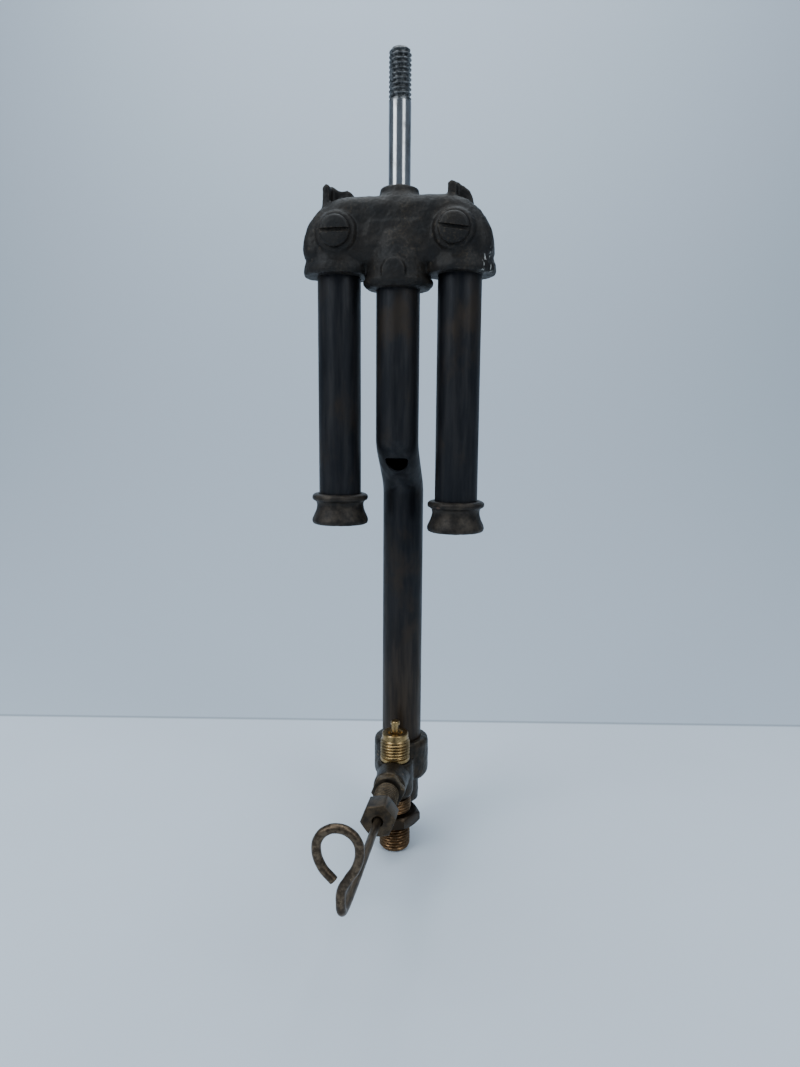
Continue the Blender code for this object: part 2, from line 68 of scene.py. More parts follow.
TUBE_RADIUS = 6.34
TUBE_WALL = 0.8
BEND_TOP_Z, BEND_LOW_Z, BEND_BLEND = 127.7, 114.9, 2.6
STUD_RADIUS, STUD_PITCH, STUD_THREAD = 3.165, 1.27, 13.9
BRASS_PITCH = 0.94
CASTING_TOP_Z, CASTING_HALF_WIDTH, CASTING_DEPTH = 197.5, 27.3, 17.0
SHOULDER_RADIUS = 14.5
FOOT_Z = 176.4
INLET_FLATS, INLET_HEX_LOW, INLET_HEX_HIGH = 14.1, 8.8, 12.5
BONNET_FLATS, NUT_FLATS, PACKING_TURN = 9.0, 8.9, 8.0
CONE_SLOPE = tan(radians(30))
WIRE_RADIUS = 1.115
CAMERA_PLACE = (35.1, -227.8, 136.8)
CAMERA_YAW, CAMERA_PITCH, CAMERA_ROLL = -8.5, 8.73, 0.42
STAGE_REACH, SWEEP_START, SWEEP_RADIUS, SWEEP_TURN = 2500.0, 200.0, 600.0, 7.6
HORIZON_Y = 102.0
DAYLIGHT = (0.86, 0.94, 1.0)


def node_box(name):
    """Lowest and highest corner of a CAD node, in millimetres."""
    low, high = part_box(name)
    return low / MM, high / MM


def node_centre(name):
    low, high = node_box(name)
    return (low + high) / 2


# ---------------------------------------------------------------- meshes

def link_object(name, data):
    obj = bpy.data.objects.new(name, data)
    bpy.context.scene.collection.objects.link(obj)
    return obj


def shade(obj, angle):
    """Smooth shading, with edges sharper than an angle in degrees left crisp."""
    obj.data.shade_smooth()
    obj.data.set_sharp_from_angle(angle=radians(angle))


def ring_faces(rings, segments, closed=False):
    """Quads between neighbouring rings of points, and from the last ring to the first if closed."""
    faces = []
    for i in range(rings if closed else rings - 1):
        j = (i + 1) % rings
        for k in range(segments):
            m = (k + 1) % segments
            faces.append((i * segments + k, i * segments + m, j * segments + m, j * segments + k))
    return faces


def new_object(name, verts, faces, smooth_angle=None):
    mesh = bpy.data.meshes.new(name)
    mesh.from_pydata([tuple(v) for v in np.asarray(verts, float) * MM], [], faces)
    mesh.validate()
    obj = link_object(name, mesh)
    bm = bmesh.new()
    bm.from_mesh(mesh)
    bmesh.ops.remove_doubles(bm, verts=bm.verts, dist=1e-7)
    bmesh.ops.recalc_face_normals(bm, faces=bm.faces)
    bm.to_mesh(mesh)
    bm.free()
    mesh.shade_smooth()
    if smooth_angle:
        mesh.set_sharp_from_angle(angle=radians(smooth_angle))
    return obj


def densify(profile, step):
    """Adds points along a profile of (radius, height, thread depth) so that no step is longer than step."""
    out = [profile[0]]
    for a, b in zip(profile, profile[1:]):
        n = max(1, int(np.ceil(np.hypot(b[0] - a[0], b[1] - a[1]) / step)))
        for k in range(1, n + 1):
            out.append(tuple(np.array(a) + (np.array(b) - np.array(a)) * k / n))
    return out


def revolve(name, profile, segments=96, pitch=None, step=None, closed=False, smooth_angle=40, wobble=0.0,
            seed=0):
    """Spins (radius, height[, thread depth]) points round +Z. With a pitch, a depth cuts a helical thread."""
    rows = [tuple(p) + (0.0,) * (3 - len(p)) for p in profile]
    if step:
        rows = densify(rows, step)
    rows = np.array(rows, float)
    theta = np.linspace(0, 2 * pi, segments, endpoint=False)
    r = np.repeat(rows[:, :1], segments, 1)
    h = np.repeat(rows[:, 1:2], segments, 1)
    if pitch:
        phase = (h / pitch - theta[None, :] / (2 * pi)) % 1.0
        groove = np.clip(1.24 * np.abs(2 * phase - 1) - 0.12, 0, 1)
        r = r - rows[:, 2:3] * groove
    if wobble:
        rng = np.random.default_rng(seed)
        for k in (2, 3, 5, 7):
            a, b, c = rng.uniform(0, 2 * pi, 3)
            wave = np.sin(k * theta[None, :] + a + 0.35 * np.sin(h * 0.8 + b)) * np.sin(h * 0.5 + c)
            r = r * (1 + wobble / k * wave)
    pts = np.stack([r * np.cos(theta), r * np.sin(theta), h], -1).reshape(-1, 3)
    return new_object(name, pts, ring_faces(len(rows), segments, closed), smooth_angle)


def place(obj, x=0.0, y=0.0, z=0.0, facing_front=False, turn=0.0):
    """Moves a new mesh; facing_front turns its own +Z to -Y."""
    m = Matrix.Translation(Vector((x, y, z)) * MM)
    if facing_front:
        m = m @ Matrix.Rotation(pi / 2, 4, "X")
    if turn:
        m = m @ Matrix.Rotation(turn, 4, "Z")
    obj.data.transform(m)
    return obj


def prism(name, outline, low, high):
    """Extrudes an (x, z) outline along Y."""
    n = len(outline)
    verts = [(x, low, z) for x, z in outline] + [(x, high, z) for x, z in outline]
    faces = [tuple(range(n)), tuple(range(2 * n - 1, n - 1, -1))]
    faces += [(k, (k + 1) % n, n + (k + 1) % n, n + k) for k in range(n)]
    return new_object(name, verts, faces, 30)


def rectangle(left, right, bottom, top):
    return [(left, bottom), (right, bottom), (right, top), (left, top)]


def arc(cx, cz, radius, start, end, steps):
    angles = [radians(start + (end - start) * k / steps) for k in range(steps + 1)]
    return [(cx + radius * cos(a), cz + radius * sin(a)) for a in angles]


def evaluated_mesh(obj):
    depsgraph = bpy.context.evaluated_depsgraph_get()
    return bpy.data.meshes.new_from_object(obj.evaluated_get(depsgraph), depsgraph=depsgraph)


def apply_modifiers(obj):
    mesh = evaluated_mesh(obj)
    obj.modifiers.clear()
    obj.data = mesh
    return obj


def bevel(obj, width, segments=3, angle=30):
    modifier = obj.modifiers.new("bevel", "BEVEL")
    modifier.width = width * MM
    modifier.segments = segments
    modifier.limit_method = "ANGLE"
    modifier.angle_limit = radians(angle)
    return apply_modifiers(obj)


def join(name, parts):
    bm = bmesh.new()
    for part in parts:
        bm.from_mesh(part.data)
        bpy.data.objects.remove(part)
    mesh = bpy.data.meshes.new(name)
    bm.to_mesh(mesh)
    bm.free()
    return link_object(name, mesh)


def fuse(obj, voxel, smooth_steps, factor=0.5):
    """Makes overlapping closed shapes one skin, and rounds its edges and inner corners."""
    remesh = obj.modifiers.new("remesh", "REMESH")
    remesh.mode = "VOXEL"
    remesh.voxel_size = voxel * MM
    remesh.use_smooth_shade = True
    smooth = obj.modifiers.new("smooth", "SMOOTH")
    smooth.factor = factor
    smooth.iterations = smooth_steps
    apply_modifiers(obj)
    obj.data.shade_smooth()
    return obj


def boolean(obj, operation, tool):
    """Cuts or intersects an object with another, which is then removed."""
    modifier = obj.modifiers.new("boolean", "BOOLEAN")
    modifier.operation = operation
    modifier.object = tool
    modifier.solver = "EXACT"
    apply_modifiers(obj)
    bpy.data.objects.remove(tool)


def subtract(obj, *cutters):
    for cutter in cutters:
        boolean(obj, "DIFFERENCE", cutter)


def displace_noise(obj, scale, strength, seed=0.0):
    """Moves a skin along its normals by a few octaves of noise."""
    mesh = obj.data
    count = len(mesh.vertices)
    points = np.empty(count * 3)
    normals = np.empty(count * 3)
    mesh.vertices.foreach_get("co", points)
    mesh.vertex_normals.foreach_get("vector", normals)
    points = points.reshape(-1, 3)
    samples = points / MM * scale + np.array((seed, seed * 1.7, -seed))
    values = [noise.fractal(Vector(s), 0.9, 2.1, 3) for s in samples]
    points += normals.reshape(-1, 3) * np.array(values)[:, None] * strength * MM
    mesh.vertices.foreach_set("co", points.ravel())
    mesh.update()
    return obj


# ---------------------------------------------------------------- materials

class Shader:
    """A Principled material with helpers for its nodes. Textures lie in the object's own millimetres."""

    def __init__(self, name, metallic, specular=0.5):
        self.material = bpy.data.materials.new(name)
        self.material.use_nodes = True
        self.tree = self.material.node_tree
        self.bsdf = self.tree.nodes["Principled BSDF"]
        self.bsdf.inputs["Metallic"].default_value = metallic
        self.bsdf.inputs["Specular IOR Level"].default_value = specular
        self.coords = self.tree.nodes.new("ShaderNodeTexCoord").outputs["Object"]

    def link(self, value, socket):
        if hasattr(value, "is_output"):
            self.tree.links.new(value, socket)
        else:
            socket.default_value = value

    def vector(self, stretch=(1, 1, 1), offset=(0, 0, 0)):
        node = self.tree.nodes.new("ShaderNodeMapping")
        self.link(self.coords, node.inputs["Vector"])
        node.inputs["Scale"].default_value = [s / MM for s in stretch]
        node.inputs["Location"].default_value = offset
        return node.outputs["Vector"]

    def noise(self, scale, detail=4.0, roughness=0.55, stretch=(1, 1, 1), offset=(0, 0, 0), distortion=0.0):
        node = self.tree.nodes.new("ShaderNodeTexNoise")
        self.link(self.vector(stretch, offset), node.inputs["Vector"])
        node.inputs["Scale"].default_value = scale
        node.inputs["Detail"].default_value = detail
        node.inputs["Roughness"].default_value = roughness
        node.inputs["Distortion"].default_value = distortion
        return node.outputs["Fac"]

    def ramp(self, value, low, high, out_low=0.0, out_high=1.0):
        node = self.tree.nodes.new("ShaderNodeMapRange")
        node.interpolation_type = "SMOOTHSTEP"
        self.link(value, node.inputs["Value"])
        limits = {"From Min": low, "From Max": high, "To Min": out_low, "To Max": out_high}
        for name, number in limits.items():
            node.inputs[name].default_value = number
        return node.outputs["Result"]

    def mix(self, fac, a, b):
        node = self.tree.nodes.new("ShaderNodeMix")
        node.data_type = "RGBA"
        self.link(fac, node.inputs[0])
        self.link(a if hasattr(a, "is_output") else (*a, 1.0), node.inputs[6])
        self.link(b if hasattr(b, "is_output") else (*b, 1.0), node.inputs[7])
        return node.outputs[2]

    def math(self, operation, a, b=0.0):
        node = self.tree.nodes.new("ShaderNodeMath")
        node.operation = operation
        self.link(a, node.inputs[0])
        self.link(b, node.inputs[1])
        return node.outputs[0]

    def axis(self, index):
        """A coordinate in millimetres."""
        node = self.tree.nodes.new("ShaderNodeSeparateXYZ")
        self.link(self.vector(), node.inputs[0])
        return node.outputs[index]

    def pointiness(self, low, high):
        """The mesh's curvature as 0 to 1: rising limits pick out outer edges, falling ones hollows."""
        node = self.tree.nodes.new("ShaderNodeNewGeometry")
        return self.ramp(node.outputs["Pointiness"], low, high)

    def spot(self, centre, radius, soft):
        """1 inside a ball round a point in millimetres."""
        node = self.tree.nodes.new("ShaderNodeVectorMath")
        node.operation = "DISTANCE"
        self.link(self.vector(), node.inputs[0])
        node.inputs[1].default_value = centre
        return self.ramp(node.outputs["Value"], radius + soft, radius)

    def bump(self, height, strength, distance, after=None):
        node = self.tree.nodes.new("ShaderNodeBump")
        self.link(height, node.inputs["Height"])
        node.inputs["Strength"].default_value = strength
        node.inputs["Distance"].default_value = distance * MM
        if after is not None:
            self.link(after, node.inputs["Normal"])
        return node.outputs["Normal"]

    def finish(self, colour, roughness, normal=None):
        self.link(colour, self.bsdf.inputs["Base Color"])
        self.link(roughness, self.bsdf.inputs["Roughness"])
        if normal is not None:
            self.link(normal, self.bsdf.inputs["Normal"])
        return self.material


def cast_material():
    """Sand-cast iron, blackened by heat, rubbed brown on its high places."""
    s = Shader("cast_black", 0.15, 0.3)
    broad = s.noise(0.16, 5, 0.6)
    fine = s.noise(1.3, 6, 0.7, offset=(7, 3, 1))
    colour = s.mix(s.ramp(broad, 0.35, 0.68), (0.0055, 0.0046, 0.0042), (0.014, 0.0105, 0.0078))
    drift = s.noise(0.11, 4, 0.6, offset=(20, 5, 9))
    olive = s.math("MULTIPLY", s.ramp(fine, 0.45, 0.72), s.ramp(drift, 0.48, 0.66))
    colour = s.mix(s.math("MULTIPLY", olive, 0.75), colour, (0.048, 0.034, 0.020))
    worn = s.math("MULTIPLY", s.pointiness(0.515, 0.56), s.ramp(fine, 0.35, 0.62))
    colour = s.mix(s.math("MULTIPLY", worn, 0.6), colour, (0.062, 0.045, 0.030))
    # painted shade: near-black colour laid into the hollows and inner corners, where shade falls
    colour = s.mix(s.math("MULTIPLY", s.pointiness(0.485, 0.44), 0.6), colour, (0.003, 0.0026, 0.0026))
    scratch = s.noise(1.1, 3, 0.6, stretch=(1.0, 1.0, 0.28), offset=(3, 1, 4))
    foot = s.math("MULTIPLY", s.spot((26.5, -3.5, 178.6), 2.0, 3.2), s.ramp(scratch, 0.58, 0.66))
    colour = s.mix(foot, colour, (0.62, 0.6, 0.55))
    rough = s.ramp(fine, 0.2, 0.8, 0.66, 0.44)
    normal = s.bump(s.noise(0.55, 3, 0.6, offset=(4, 9, 2)), 0.5, 0.28)
    normal = s.bump(fine, 0.55, 0.16, normal)
    return s.finish(colour, rough, normal)


def tube_material(name, brown_below=None):
    """Heat-blackened tube: blue-black, with brown streaks down its length and wear near its ends."""
    s = Shader(name, 0.55, 0.35)
    streak = s.noise(0.55, 5, 0.6, stretch=(1, 1, 0.09))
    patch = s.noise(0.09, 5, 0.62, stretch=(1, 1, 0.55), offset=(3, 8, 5))
    colour = s.mix(s.ramp(streak, 0.35, 0.7), (0.008, 0.0085, 0.011), (0.022, 0.0205, 0.0215))
    colour = s.mix(s.ramp(patch, 0.48, 0.72), colour, (0.031, 0.0225, 0.0165))
    if brown_below is not None:
        height = s.math("ADD", s.axis(2), s.math("MULTIPLY", patch, 30.0))
        brown = s.ramp(height, brown_below + 62, brown_below)
        brass = s.mix(s.ramp(streak, 0.35, 0.68), (0.026, 0.0175, 0.011), (0.058, 0.038, 0.022))
        colour = s.mix(s.math("MULTIPLY", brown, 0.85), colour, brass)
    specks = s.ramp(s.noise(1.6, 3, 0.6, offset=(1, 2, 3)), 0.72, 0.8)
    colour = s.mix(s.math("MULTIPLY", specks, 0.4), colour, (0.09, 0.07, 0.06))
    rough = s.ramp(s.noise(0.4, 5, 0.65, stretch=(1, 1, 0.2), offset=(9, 1, 1)), 0.3, 0.75, 0.36, 0.58)
    normal = s.bump(s.noise(0.35, 3, 0.5, stretch=(1, 1, 0.25)), 0.25, 0.12)
    normal = s.bump(s.noise(2.2, 4, 0.7), 0.25, 0.05, normal)
    return s.finish(colour, rough, normal)


def cap_material():
    """Oxidised brass of the burner caps: grey-brown with a reddish rim."""
    s = Shader("cap_brass_scaled", 0.55, 0.35)
    broad = s.noise(0.35, 5, 0.65)
    fine = s.noise(2.0, 5, 0.7, offset=(5, 5, 5))
    colour = s.mix(s.ramp(broad, 0.35, 0.68), (0.014, 0.0112, 0.0092), (0.046, 0.036, 0.027))
    colour = s.mix(s.math("MULTIPLY", s.pointiness(0.52, 0.58), 0.7), colour, (0.105, 0.066, 0.047))
    # painted shade: near-black colour laid into the hollows, where shade falls
    colour = s.mix(s.math("MULTIPLY", s.pointiness(0.485, 0.45), 0.55), colour, (0.008, 0.007, 0.007))
    rough = s.ramp(fine, 0.25, 0.8, 0.62, 0.36)
    normal = s.bump(broad, 0.35, 0.25)
    normal = s.bump(fine, 0.4, 0.07, normal)
    return s.finish(colour, rough, normal)


def steel_material():
    s = Shader("turned_steel", 1.0)
    lines = s.noise(2.0, 4, 0.6, stretch=(0.4, 0.4, 4.0))
    smear = s.noise(0.5, 5, 0.6, stretch=(1, 1, 0.4), offset=(2, 2, 2))
    colour = s.mix(s.ramp(smear, 0.4, 0.75), (0.36, 0.36, 0.365), (0.18, 0.178, 0.175))
    spots = s.ramp(s.noise(1.5, 4, 0.7, offset=(8, 8, 8)), 0.66, 0.78)
    colour = s.mix(s.math("MULTIPLY", spots, 0.55), colour, (0.16, 0.12, 0.09))
    low = node_box("ventilator_stud")[1][2] - STUD_THREAD - 0.5
    threads = s.ramp(s.axis(2), low, low + 0.8)
    grime = s.mix(s.ramp(s.noise(1.1, 4, 0.6), 0.35, 0.7), (0.06, 0.06, 0.06), (0.22, 0.22, 0.22))
    colour = s.mix(threads, colour, grime)
    rough = s.math("ADD", s.ramp(smear, 0.3, 0.8, 0.14, 0.3), s.math("MULTIPLY", threads, 0.22))
    normal = s.bump(lines, 0.12, 0.03)
    return s.finish(colour, rough, normal)


def brass_material(name, light, dark, tarnish, amount, rough_low, rough_high, metallic=1.0, band=None):
    """Machined brass: tool marks, tarnished hollows and brighter edges. A band of heights may be darkened."""
    s = Shader(name, metallic)
    broad = s.noise(0.45, 5, 0.6)
    fine = s.noise(2.4, 5, 0.65, offset=(6, 2, 7))
    colour = s.mix(s.ramp(broad, 0.35, 0.7), dark, light)
    colour = s.mix(s.math("MULTIPLY", s.ramp(fine, 0.42, 0.7), amount), colour, tarnish)
    colour = s.mix(s.math("MULTIPLY", s.pointiness(0.49, 0.43), 0.8), colour, tarnish)
    bright = tuple(min(1.0, 1.35 * c) for c in light)
    colour = s.mix(s.math("MULTIPLY", s.pointiness(0.52, 0.6), 0.6), colour, bright)
    if band:
        low, high, tone = band
        inside = s.math("MULTIPLY", s.ramp(s.axis(2), low - 0.3, low), s.ramp(s.axis(2), high + 0.3, high))
        colour = s.mix(s.math("MULTIPLY", inside, s.ramp(fine, 0.1, 0.5, 0.7, 0.95)), colour, tone)
    rough = s.ramp(fine, 0.25, 0.8, rough_low, rough_high)
    normal = s.bump(s.noise(1.2, 3, 0.5, stretch=(1, 1, 2.5)), 0.18, 0.06)
    normal = s.bump(fine, 0.2, 0.03, normal)
    return s.finish(colour, rough, normal)


def block_material():
    """The valve block: dark brass skin rubbed through to warm metal at its edges."""
    s = Shader("block_brass", 0.7)
    broad = s.noise(0.3, 5, 0.62)
    fine = s.noise(1.8, 5, 0.7, offset=(2, 7, 4))
    colour = s.mix(s.ramp(broad, 0.35, 0.68), (0.012, 0.0095, 0.0068), (0.042, 0.030, 0.018))
    worn = s.math("MULTIPLY", s.pointiness(0.51, 0.56), s.ramp(fine, 0.3, 0.6))
    colour = s.mix(s.math("MULTIPLY", worn, 0.8), colour, (0.17, 0.115, 0.058))
    # painted shade: near-black colour laid into the hollows and joints, where shade falls
    colour = s.mix(s.math("MULTIPLY", s.pointiness(0.485, 0.44), 0.7), colour, (0.005, 0.0042, 0.0038))
    rough = s.ramp(fine, 0.25, 0.8, 0.56, 0.34)
    normal = s.bump(s.noise(0.8, 3, 0.6), 0.3, 0.14)
    normal = s.bump(fine, 0.3, 0.06, normal)
    return s.finish(colour, rough, normal)


def wire_material():
    s = Shader("bronze_wire_drawn", 0.9)
    along = s.noise(1.1, 4, 0.6, stretch=(1, 0.15, 1))
    patch = s.noise(0.25, 5, 0.6, offset=(4, 4, 4))
    colour = s.mix(s.ramp(along, 0.35, 0.68), (0.050, 0.035, 0.023), (0.135, 0.097, 0.064))
    colour = s.mix(s.ramp(patch, 0.52, 0.7), colour, (0.045, 0.034, 0.026))
    spots = s.ramp(s.noise(1.7, 3, 0.6, offset=(9, 3, 5)), 0.68, 0.76)
    colour = s.mix(s.math("MULTIPLY", spots, 0.6), colour, (0.36, 0.27, 0.17))
    rough = s.ramp(patch, 0.3, 0.75, 0.32, 0.5)
    normal = s.bump(s.noise(2.4, 3, 0.6), 0.25, 0.04)
    return s.finish(colour, rough, normal)


def gauze_material():
    s = Shader("gauze_wire", 0.8)
    soot = s.noise(0.6, 4, 0.6)
    colour = s.mix(s.ramp(soot, 0.35, 0.7), (0.02, 0.018, 0.017), (0.10, 0.085, 0.07))
    normal = s.bump(s.noise(4.0, 3, 0.6), 0.3, 0.02)
    return s.finish(colour, s.ramp(soot, 0.3, 0.7, 0.7, 0.45), normal)


def packing_material():
    s = Shader("graphite_string", 0.0)
    twist = s.noise(2.2, 4, 0.6, stretch=(1, 3, 1))
    colour = s.mix(s.ramp(twist, 0.35, 0.7), (0.012, 0.012, 0.013), (0.05, 0.05, 0.052))
    return s.finish(colour, s.ramp(twist, 0.3, 0.7, 0.6, 0.85), s.bump(twist, 0.6, 0.15))


def paper_material(name, base, horizon, painted_wall_light):
    """Plain pale board. Past a thin dark seam it takes a darker painted wall shade, which lightens with
    height as painted light.
    """
    s = Shader(name, 0.0, 0.2)
    fine = s.noise(0.02, 3, 0.5)
    colour = s.mix(s.ramp(fine, 0.3, 0.7), base, tuple(0.985 * c for c in base))
    edge, tone = horizon
    # painted light: past the seam the board gets a painted shade at the wall's foot that lightens to painted
    # light higher up
    wall = s.mix(s.ramp(s.axis(2), 60.0, 900.0), tone, painted_wall_light)
    colour = s.mix(s.ramp(s.axis(1), edge - 0.6, edge + 0.6), colour, wall)
    rise = s.ramp(s.axis(1), edge - 1.6, edge)
    seam = s.math("MULTIPLY", rise, s.ramp(s.axis(1), edge + 2.4, edge + 0.8))
    colour = s.mix(s.math("MULTIPLY", seam, 0.55), colour, tuple(0.45 * c for c in tone))
    return s.finish(colour, 0.75, s.bump(s.noise(0.6, 3, 0.6), 0.05, 0.05))


# ---------------------------------------------------------------- pieces

def dress(obj, material, body, slot, *nodes):
    obj.data.materials.clear()
    obj.data.materials.append(material)
    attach(obj, body)
    if nodes:
        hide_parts(*nodes)
    return obj


def casting_parts():
    """The casting's overlapping closed shapes: body, feet, bosses, collar, hub, horns, pad and panel."""
    plane = node_centre("ventilator_stud")[1]
    front = plane - CASTING_DEPTH / 2
    parts = []
    shoulder_x, shoulder_z = CASTING_HALF_WIDTH - SHOULDER_RADIUS, CASTING_TOP_Z - SHOULDER_RADIUS
    outline = [(CASTING_HALF_WIDTH - 0.9, 178.5)] + arc(shoulder_x, shoulder_z, SHOULDER_RADIUS, 0, 90, 24)
    outline += [(-x, z) for x, z in reversed(outline)]
    body = prism("body", outline, front, plane + CASTING_DEPTH / 2)
    parts.append(bevel(body, 4.2, 8, 60))
    for node in ("left_burner_tube", "right_burner_tube"):
        c = node_centre(node)
        foot = revolve("foot", [
            (0, FOOT_Z), (9.9, FOOT_Z), (10.2, FOOT_Z + 0.3), (10.35, FOOT_Z + 1.0), (10.3, FOOT_Z + 2.0),
            (10.1, FOOT_Z + 2.9), (9.5, FOOT_Z + 4.2), (9.35, FOOT_Z + 6.5), (9.2, 187.2),
            (7.0, 192.2), (0, 192.2),
        ], 72)
        parts.append(place(foot, c[0], c[1]))
    for node in ("left_cleanout_plug", "right_cleanout_plug"):
        c = node_centre(node)
        boss = revolve("boss", [(0, 0), (7.4, 0), (6.6, 6.0), (5.5, 8.6), (5.0, 9.05), (0, 9.05)], 64)
        parts.append(place(boss, c[0], 0, c[2], facing_front=True))
    z = node_box("manifold_casting")[0][2]
    collar = revolve("collar", [
        (0, z), (8.3, z), (9.0, z + 0.3), (10.15, z + 1.5), (10.2, z + 2.4), (9.6, z + 2.9), (9.4, z + 3.6),
        (9.3, z + 8.0), (8.0, z + 15.0), (0, z + 15.0),
    ], 72)
    parts.append(collar)
    hub = revolve("hub", [
        (0, 187.0), (7.4, 187.0), (7.6, 196.4), (6.5, 197.6), (5.7, 198.8), (5.5, 199.9), (5.2, 200.5),
        (0, 200.5),
    ], 64)
    parts.append(place(hub, 0, plane))
    plate_left = [(-21.0, 188.0), (-12.4, 188.0), (-12.9, 197.6), (-13.6, 199.4), (-14.8, 200.3),
                  (-16.4, 199.9), (-17.8, 200.3), (-19.0, 201.3), (-20.6, 201.4), (-21.2, 200.2)]
    parts.append(prism("horn", plate_left, -0.4, 4.0))
    rib_left = [(-21.3, 188.0), (-19.0, 188.0), (-19.1, 200.6), (-20.1, 201.0), (-21.2, 200.2)]
    parts.append(prism("rib", rib_left, -4.6, 4.0))
    plate_right = [(13.5, 188.0), (22.2, 188.0), (21.0, 197.2), (20.2, 198.8), (18.2, 200.4), (16.6, 201.6),
                   (15.0, 201.6), (14.2, 200.8), (14.0, 198.6)]
    parts.append(prism("horn", plate_right, -0.4, 4.0))
    rib_right = [(14.0, 188.0), (17.2, 188.0), (16.6, 200.8), (15.1, 201.0), (14.2, 200.2)]
    parts.append(prism("rib", rib_right, -4.2, 4.0))
    pad = prism("pad", arc(0, 176.6, 3.3, 0, 180, 24) + [(-3.4, z + 2.2), (3.4, z + 2.2)], -10.0, -4.0)
    parts.append(bevel(pad, 0.5, 2, 50))
    panel = [(-7.5, 183.5), (7.5, 183.5), (8.5, 186.5), (7.0, 190.0), (-7.0, 190.0), (-8.5, 186.5)]
    parts.append(prism("panel", panel, front - 0.35, plane))
    return parts


def build_casting(material):
    """The casting's skin, with coarse and fine sand texture."""
    obj = fuse(join("casting", casting_parts()), 0.34, 9, 0.6)
    displace_noise(obj, 0.28, 0.16)
    displace_noise(obj, 1.1, 0.07, 3.0)
    obj.name = "manifold_skin"
    dress(obj, material, "burner", "cast_iron", "manifold_casting")


def build_plug(node, material, turn):
    """A round head with a screwdriver slot, standing on the casting's front."""
    c = node_centre(node)
    seat = -node_box(node)[0][1] - 1.7
    plug = revolve("plug", [
        (0, seat - 4.6), (2.8, seat - 4.6), (3.0, seat - 0.4), (4.0, seat - 0.3), (4.3, seat),
        (4.32, seat + 0.8),
        (4.1, seat + 1.15), (3.6, seat + 1.45), (2.4, seat + 1.65), (0, seat + 1.7),
    ], 72, step=0.3)
    slot = prism("slot", rectangle(-6, 6, -0.55, 0.55), seat + 0.55, seat + 4.0)
    slot.data.transform(Matrix.Rotation(pi / 2, 4, "X"))
    subtract(plug, slot)
    bevel(plug, 0.16, 2, 40)
    place(plug, c[0], 0, c[2], facing_front=True, turn=turn)
    shade(plug, 40)
    plug.name = node.replace("cleanout_plug", "plug_slotted")
    dress(plug, material, "burner", "plug_iron", node)


def build_stud(material):
    low, high = node_box("ventilator_stud")
    c = (low + high) / 2
    r = STUD_RADIUS
    start = high[2] - STUD_THREAD
    stud = revolve("stud_rod", [
        (0, low[2]), (r, low[2]), (r, start - 0.4), (r, start, 0.0), (r, start + 1.0, 0.72),
        (r, high[2] - 1.2, 0.72),
        (r - 0.15, high[2] - 0.7, 0.62), (r - 0.75, high[2] - 0.05, 0.1), (0, high[2]),
    ], 96, pitch=STUD_PITCH, step=0.1, smooth_angle=None)
    place(stud, c[0], c[1])
    dress(stud, material, "burner", "steel", "ventilator_stud")


def build_burner_tube(node, material):
    low, high = node_box(node)
    c = (low + high) / 2
    r = TUBE_RADIUS
    tube = revolve(node + "_skin", [
        (r - 0.15, low[2]), (r, low[2] + 0.15), (r, high[2] - 0.15), (r - 0.15, high[2]),
        (r - TUBE_WALL, high[2]), (r - TUBE_WALL, low[2]),
    ], 96, step=1.5, closed=True, wobble=0.0016, seed=len(node))
    place(tube, c[0], c[1])
    dress(tube, material, "burner", "blued_tube", node)


def build_cap(node, material, seed):
    low, high = node_box(node)
    c = (low + high) / 2
    z = low[2]
    top = high[2]
    cap = revolve(node + "_skin", [
        (7.45, z + 0.02), (7.9, z), (8.3, z + 0.25), (8.5, z + 0.7), (8.54, z + 1.15), (8.4, z + 1.7),
        (8.05, z + 2.5), (7.6, z + 3.5), (7.25, z + 4.5), (7.1, z + 5.4), (7.12, z + 6.1), (7.3, z + 6.7),
        (7.75, z + 7.1),
        (8.2, z + 7.3), (8.45, z + 7.65), (8.5, z + 8.1), (8.38, z + 8.6), (8.0, z + 8.95), (7.4, top),
        (6.75, top - 0.02), (6.45, top - 0.25), (6.4, z + 6.8), (5.6, z + 6.6), (5.55, z + 3.6),
        (6.6, z + 3.4), (6.8, z + 1.2), (7.1, z + 0.25),
    ], 128, step=0.25, closed=True, wobble=0.006, seed=seed)
    place(cap, c[0], c[1])
    displace_noise(cap, 0.5, 0.06, seed)
    dress(cap, material, "burner", "cap_brass", node)


def build_gauze(node, material):
    """Two crossed families of crimped wires, domed like the CAD disc."""
    low, high = node_box(node)
    c = (low + high) / 2
    radius = 6.3
    pitch, wire = 0.85, 0.14
    parts_v, parts_f = [], []
    ring = 6
    count = int(radius / pitch)
    for family in (0, 1):
        for k in range(-count, count + 1):
            u = k * pitch
            span = sqrt(max(radius ** 2 - u ** 2, 0.01))
            steps = max(4, int(2 * span / 0.21))
            t = np.linspace(-span, span, steps)
            crimp = 0.13 * np.cos(pi * t / pitch + pi * (k + family))
            dome = high[2] - 0.35 - 0.75 * (1 - (t ** 2 + u ** 2) / radius ** 2)
            line = np.stack([t, np.full_like(t, u), dome + crimp], -1)
            if family:
                line = line[:, [1, 0, 2]]
            tangent = np.gradient(line, axis=0)
            tangent /= np.linalg.norm(tangent, axis=1)[:, None]
            side = np.cross(tangent, (0, 0, 1.0))
            side /= np.linalg.norm(side, axis=1)[:, None]
            up = np.cross(side, tangent)
            base = sum(len(v) for v in parts_v)
            angles = np.linspace(0, 2 * pi, ring, endpoint=False)
            across = np.cos(angles)[None, :, None] * side[:, None, :]
            upward = np.sin(angles)[None, :, None] * up[:, None, :]
            loop = line[:, None, :] + wire * (across + upward)
            parts_v.append(loop.reshape(-1, 3))
            parts_f += [tuple(base + v for v in face) for face in ring_faces(steps, ring)]
            parts_f.append(tuple(base + j for j in range(ring)))
            parts_f.append(tuple(base + (steps - 1) * ring + j for j in range(ring)))
    gauze = new_object(node + "_weave", np.concatenate(parts_v), parts_f)
    place(gauze, c[0], c[1])
    dress(gauze, material, "burner", "gauze", node)


